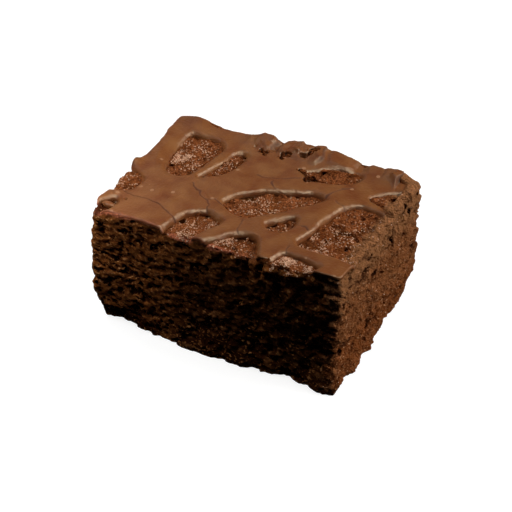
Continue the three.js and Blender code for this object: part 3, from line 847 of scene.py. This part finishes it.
# The icing's top, with the broken edge at the back and the cracks.
cells = box_cells(lowest=BARE_TOP - ICING_ROOT - 3)
x, y, z = cells.x, cells.y, cells.z
wander = 0.12 * cells.noise(2.2, 2.2, 2.2) + 0.06 * cells.noise(1, 1, 1)
icing_top = lifted_top(x, y) + ICING_TOP + heaped(BUMPS, x, y) - bowls(x, y)
crag_x = x + CRAG_WANDER * cells.plan_noise(3, 2.4) * ease(-y, -24.5, -22.5)
crag_y = y + CRAG_WANDER * cells.plan_noise(2.4, 2.4)
crags = along(BACK_CRAGS, crag_x) * ease(crag_y, 18.5, 21.5)
icing_top = icing_top + crags
crack_x = x + CRACK_WANDER * cells.plan_noise(1.3, 1.3)
crack_y = y + CRACK_WANDER * cells.plan_noise(1.3, 1.3)
crack_distance = np.full(crack_x.shape, FAR, np.float32)
for crack in CRACKS:
    crack_distance = np.minimum(crack_distance, line_distance(crack, crack_x, crack_y))
crack_distance = crack_distance + 0.03 * cells.plan_noise(1.8, 1.8)
icing_top = icing_top - CRACK_DEPTH * np.exp(-((crack_distance / CRACK_WIDTH) ** 2))

# Its edges at the windows and the cut sides, the torn holes, and the lump in the corner pit.
bare = loops_distance(WINDOWS, x, y)
shallow = loops_distance(SHALLOW_WINDOWS, x, y)
sides = block_sides(x, y, z)
icing = meet(wander - np.minimum(bare, shallow), z - icing_top, ICING_SHOULDER)
icing = meet(icing, sides + wander, EDGE_ROUNDING)
for bite_x, bite_y, size in torn_bites:
    height = lifted_top(bite_x, bite_y) + ICING_TOP
    widths = [size * wider for wider in BITE_WIDENING]
    cells.blob(icing, (bite_x, bite_y, height), (*widths, BITE_HEIGHT))
lump_foot = lifted_top(*LUMP)
cells.blob(icing, (LUMP[0], LUMP[1] - 0.3, lump_foot + 0.8), LUMP_SIZE, add=True)
cells.blob(icing, (LUMP[0] + 1.5, LUMP[1], lump_foot - 0.3), LUMP_ROOT, add=True)

# Its grain, and its foot sunk in the cake.
craggy = ease(y, *CRAG_STRIP) * ease(-x, -12, -9) * ease(x, -15, -12)
icing += craggy * (0.12 - 0.22 * np.abs(cells.noise(2.2, 1.6, 1.4)) + 0.06 * cells.noise(0.9, 0.9, 0.9))
icing += 0.1 * cells.noise(6, 6, 6) + 0.04 * cells.noise(2.5, 2.5, 2.5)
icing_foot = cake_top(x, y, bare, shallow, sides) - ICING_ROOT
icing = np.maximum(icing, icing_foot - z)

points, faces = cells.skin(icing)
broken = ease(np.abs(np.gradient(crags, CELL, axis=0)), 0.1, 1.2)
crack_tone = np.minimum(crack_distance, SOUND_TONE - BROKEN_TONE * broken)
tones = {
    "crack": cells.sample(np.broadcast_to(crack_tone, icing.shape), points),
    "rim": 0.8 * ease(cells.sample(sides, points), -0.5, 0) * ease(points[:, 0], *RED_EDGE),
}
icing_piece = make_piece("icing_bands", points, faces, set_icing(), "icing", **tones)

# ----------------------------------------------------------------------------------------------------------
# Studio: a wide pale floor, a key light from the right, soft light from above and behind, and the camera.
# ----------------------------------------------------------------------------------------------------------
CAMERA_TARGET = Vector((1.74, -2.17, 17.75)) * MM
CAMERA_BEARING = 27.71  # degrees to the right of the front
CAMERA_HEIGHT = 36.53  # degrees above the floor
CAMERA_DISTANCE = 424.5 * MM
CAMERA_LENS = 112.5
CAMERA_REACH = 20
FLOOR_REACH = 4
FLOOR_GREY = (0.3, 0.3, 0.3, 1)
FLOOR_GLOW = 0.82
WHITE = (1, 1, 1, 1)
WORLD_LIGHT = 0.003
WORLD_SEEN = 0.85
GLINT_COLOUR = (0.86, 0.76, 0.54)
SIDE_LIGHT_SPREAD = 90
SIDE_LIGHT_TARGET = Vector((-35, -20, 28)) * MM  # the near left corner


def aim(thing, bearing, height, distance, target=CAMERA_TARGET):
    """Put a light or camera at a bearing and height in degrees round the object, turned to a target."""
    azimuth = math.radians(bearing)
    elevation = math.radians(height)
    flat = math.cos(elevation)
    away = Vector((math.sin(azimuth) * flat, -math.cos(azimuth) * flat, math.sin(elevation)))
    thing.location = CAMERA_TARGET + away * distance
    thing.rotation_euler = (thing.location - target).to_track_quat("Z", "Y").to_euler()
    bpy.context.scene.collection.objects.link(thing)


def soft_light(name, bearing, height, size, power, distance=0.6, target=CAMERA_TARGET):
    """A square soft box turned to a target, with its bearing and height in degrees."""
    lamp = bpy.data.lights.new(name, "AREA")
    lamp.size = size
    lamp.energy = power
    light = bpy.data.objects.new(name, lamp)
    aim(light, bearing, height, distance, target)
    light.visible_camera = False
    return light


floor_mesh = bpy.data.meshes.new("floor")
corners = [(a * FLOOR_REACH, b * FLOOR_REACH, 0) for a, b in ((-1, -1), (1, -1), (1, 1), (-1, 1))]
floor_mesh.from_pydata(corners, [], [(0, 1, 2, 3)])
floor_paint = bpy.data.materials.new("floor_paint")
floor_paint.use_nodes = True
floor_shader = floor_paint.node_tree.nodes["Principled BSDF"]
floor_shader.inputs["Base Color"].default_value = FLOOR_GREY
floor_shader.inputs["Roughness"].default_value = 0.9
floor_shader.inputs["Emission Color"].default_value = WHITE
floor_shader.inputs["Emission Strength"].default_value = FLOOR_GLOW
floor_mesh.materials.append(floor_paint)
floor = bpy.data.objects.new("floor", floor_mesh)
bpy.context.scene.collection.objects.link(floor)
floor.visible_diffuse = False
floor.visible_glossy = False

key_light = soft_light("key", 114, 30, 0.4, 4.1)
soft_light("back", 230, 38, 0.25, 0.05, distance=0.4)
top_light = soft_light("top", 272, 62, 0.2, 0.76, distance=0.35)
# These two only glint on the icing's shoulders.
for name, bearing, height, power in (("glint", 36, 52, 5), ("side_glint", 108, 38, 4.2)):
    glint_light = soft_light(name, bearing, height, 0.35, power)
    glint_light.data.color = GLINT_COLOUR
    glint_light.visible_diffuse = False
side_light = soft_light("side", -50, 34, 0.02, 0.004, distance=0.08, target=SIDE_LIGHT_TARGET)
side_light.data.spread = math.radians(SIDE_LIGHT_SPREAD)
for light in (key_light, top_light, side_light):
    light.visible_glossy = False

world = bpy.data.worlds.new("studio")
world.use_nodes = True
world_tree = world.node_tree
backdrop = world_tree.nodes["Background"]
backdrop.inputs["Color"].default_value = WHITE
seen = world_tree.nodes.new("ShaderNodeLightPath")
strength = span(world_tree, seen.outputs["Is Camera Ray"], 0, 1, WORLD_LIGHT, WORLD_SEEN)
world_tree.links.new(strength, backdrop.inputs["Strength"])
bpy.context.scene.world = world
bpy.context.scene.view_settings.view_transform = "Standard"

camera_data = bpy.data.cameras.new("camera")
camera_data.lens = CAMERA_LENS
camera_data.clip_end = CAMERA_REACH
camera = bpy.data.objects.new("camera", camera_data)
aim(camera, CAMERA_BEARING, CAMERA_HEIGHT, CAMERA_DISTANCE)
bpy.context.scene.camera = camera
